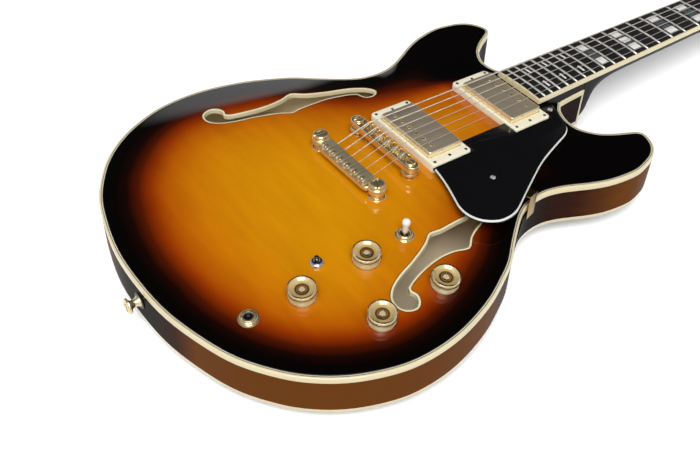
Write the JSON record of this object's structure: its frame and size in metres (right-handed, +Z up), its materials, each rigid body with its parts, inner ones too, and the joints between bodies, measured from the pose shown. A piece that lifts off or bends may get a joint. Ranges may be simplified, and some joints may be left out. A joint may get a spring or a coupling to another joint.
{
  "type": "semi-hollow electric guitar",
  "caption": "Semi-hollow electric guitar with arched sunburst body, f-holes, set neck, two covered pickups, stop tailpiece, clear knobs and gold hardware, lying on its back.",
  "frame": {"origin": "centre of the bounding box on the support the guitar lies on, under the body end of the neck", "axes": "+Y from the tail to the head, +Z up out of the top, +X to the treble side"},
  "size_m": [0.3874, 1.0718, 0.0876],
  "materials": {
    "sunburst_top": "gloss amber sunburst lacquer",
    "brown_back": "gloss brown lacquer",
    "inner_wood": "raw maple and spruce",
    "black_neck": "gloss black lacquer",
    "cream_binding": "gloss",
    "ivory_ring": "gloss",
    "ebony_board": "oiled ebony with pearl inlays and nickel frets",
    "nut_bone": "satin",
    "guard_black": "gloss",
    "gold_metal": "polished gold plate",
    "mini_chrome": "polished",
    "string_steel": "satin",
    "control_steel": "satin",
    "knob_clear": "clear with gold backing",
    "switch_tip": "gloss"
  },
  "bodies": {
    "neck_volume_knob": {"neck_volume_knob": "knob_clear"},
    "neck_tone_knob": {"neck_tone_knob": "knob_clear"},
    "bridge_volume_knob": {"bridge_volume_knob": "knob_clear"},
    "bridge_tone_knob": {"bridge_tone_knob": "knob_clear"},
    "selector_lever": {"selector_lever": "switch_tip"},
    "mini_lever": {"mini_lever": "mini_chrome"},
    "bass_1_key": {"bass_1_key": "gold_metal"},
    "bass_1_post": {"bass_1_post": "gold_metal"},
    "treble_1_key": {"treble_1_key": "gold_metal"},
    "treble_1_post": {"treble_1_post": "gold_metal"},
    "bass_2_key": {"bass_2_key": "gold_metal"},
    "bass_2_post": {"bass_2_post": "gold_metal"},
    "treble_2_key": {"treble_2_key": "gold_metal"},
    "treble_2_post": {"treble_2_post": "gold_metal"},
    "bass_3_key": {"bass_3_key": "gold_metal"},
    "bass_3_post": {"bass_3_post": "gold_metal"},
    "treble_3_key": {"treble_3_key": "gold_metal"},
    "treble_3_post": {"treble_3_post": "gold_metal"},
    "guitar": {"back_binding": "cream_binding", "back_plate": "brown_back", "bass_1_string": "string_steel", "bass_2_string": "string_steel", "bass_3_string": "string_steel", "bass_bridge_post": "gold_metal", "bass_f_hole_binding": "cream_binding", "bass_tailpiece_stud": "gold_metal", "bass_tuner_plate": "gold_metal", "bridge": "gold_metal", "bridge_pickup": "gold_metal", "bridge_pickup_ring": "ivory_ring", "bridge_tone_pot": "control_steel", "bridge_volume_pot": "control_steel", "centre_block": "inner_wood", "fretboard": "ebony_board", "fretboard_binding": "cream_binding", "heel_strap_button": "gold_metal", "mini_switch": "mini_chrome", "neck": "black_neck", "neck_pickup": "gold_metal", "neck_pickup_ring": "ivory_ring", "neck_tone_pot": "control_steel", "neck_volume_pot": "control_steel", "nut": "nut_bone", "output_jack": "gold_metal", "pickguard": "guard_black", "pickguard_bracket": "gold_metal", "selector_switch": "gold_metal", "sides": "brown_back", "tail_strap_button": "gold_metal", "tailpiece": "gold_metal", "top_binding": "cream_binding", "top_plate": "sunburst_top", "treble_1_string": "string_steel", "treble_2_string": "string_steel", "treble_3_string": "string_steel", "treble_bridge_post": "gold_metal", "treble_f_hole_binding": "cream_binding", "treble_tailpiece_stud": "gold_metal", "treble_tuner_plate": "gold_metal", "truss_rod_cover": "guard_black"}
  },
  "joints": [
    {"name": "neck_volume_turn", "type": "hinge", "parent": "guitar", "child": "neck_volume_knob", "pos_m": [0.09298, -0.36459, 0.05686], "axis": [0.0514, -0.0593, 0.9969], "range_deg": [-150, 150]},
    {"name": "neck_tone_turn", "type": "hinge", "parent": "guitar", "child": "neck_tone_knob", "pos_m": [0.09273, -0.42732, 0.05215], "axis": [0.042, -0.0906, 0.995], "range_deg": [-150, 150]},
    {"name": "bridge_volume_turn", "type": "hinge", "parent": "guitar", "child": "bridge_volume_knob", "pos_m": [0.14694, -0.32819, 0.0537], "axis": [0.1196, 0.0005, 0.9928], "range_deg": [-150, 150]},
    {"name": "bridge_tone_turn", "type": "hinge", "parent": "guitar", "child": "bridge_tone_knob", "pos_m": [0.14715, -0.39145, 0.05139], "axis": [0.0872, -0.0629, 0.9942], "range_deg": [-150, 150]},
    {"name": "selector_flip", "type": "hinge", "parent": "guitar", "child": "selector_lever", "pos_m": [0.09018, -0.32257, 0.06325], "axis": [0.998, 0.002, -0.063], "range_deg": [-13, 13]},
    {"name": "mini_flip", "type": "hinge", "parent": "guitar", "child": "mini_lever", "pos_m": [0.07307, -0.39957, 0.06058], "axis": [0.9994, 0.0027, -0.034], "range_deg": [-12, 12]},
    {"name": "bass_1_key_turn", "type": "hinge", "parent": "guitar", "child": "bass_1_key", "pos_m": [-0.034, 0.39774, 0.03136], "axis": [-1, 0, 0], "continuous": true},
    {"name": "bass_1_post_turn", "type": "hinge", "parent": "guitar", "child": "bass_1_post", "pos_m": [-0.026, 0.40284, 0.04997], "axis": [0, 0.2642, 0.9645], "continuous": true},
    {"name": "treble_1_key_turn", "type": "hinge", "parent": "guitar", "child": "treble_1_key", "pos_m": [0.034, 0.39774, 0.03136], "axis": [1, 0, 0], "continuous": true},
    {"name": "treble_1_post_turn", "type": "hinge", "parent": "guitar", "child": "treble_1_post", "pos_m": [0.026, 0.40284, 0.04997], "axis": [0, 0.2642, 0.9645], "continuous": true},
    {"name": "bass_2_key_turn", "type": "hinge", "parent": "guitar", "child": "bass_2_key", "pos_m": [-0.034, 0.43632, 0.02079], "axis": [-1, 0, 0], "continuous": true},
    {"name": "bass_2_post_turn", "type": "hinge", "parent": "guitar", "child": "bass_2_post", "pos_m": [-0.026, 0.44142, 0.0394], "axis": [0, 0.2642, 0.9645], "continuous": true},
    {"name": "treble_2_key_turn", "type": "hinge", "parent": "guitar", "child": "treble_2_key", "pos_m": [0.034, 0.43632, 0.02079], "axis": [1, 0, 0], "continuous": true},
    {"name": "treble_2_post_turn", "type": "hinge", "parent": "guitar", "child": "treble_2_post", "pos_m": [0.026, 0.44142, 0.0394], "axis": [0, 0.2642, 0.9645], "continuous": true},
    {"name": "bass_3_key_turn", "type": "hinge", "parent": "guitar", "child": "bass_3_key", "pos_m": [-0.034, 0.4749, 0.01022], "axis": [-1, 0, 0], "continuous": true},
    {"name": "bass_3_post_turn", "type": "hinge", "parent": "guitar", "child": "bass_3_post", "pos_m": [-0.026, 0.48, 0.02883], "axis": [0, 0.2642, 0.9645], "continuous": true},
    {"name": "treble_3_key_turn", "type": "hinge", "parent": "guitar", "child": "treble_3_key", "pos_m": [0.034, 0.4749, 0.01022], "axis": [1, 0, 0], "continuous": true},
    {"name": "treble_3_post_turn", "type": "hinge", "parent": "guitar", "child": "treble_3_post", "pos_m": [0.026, 0.48, 0.02883], "axis": [0, 0.2642, 0.9645], "continuous": true}
  ],
  "couplings": [
    {"joint": "bass_1_post_turn", "follows": "bass_1_key_turn", "ratio": 0.066667},
    {"joint": "treble_1_post_turn", "follows": "treble_1_key_turn", "ratio": -0.066667},
    {"joint": "bass_2_post_turn", "follows": "bass_2_key_turn", "ratio": 0.066667},
    {"joint": "treble_2_post_turn", "follows": "treble_2_key_turn", "ratio": -0.066667},
    {"joint": "bass_3_post_turn", "follows": "bass_3_key_turn", "ratio": 0.066667},
    {"joint": "treble_3_post_turn", "follows": "treble_3_key_turn", "ratio": -0.066667}
  ]
}
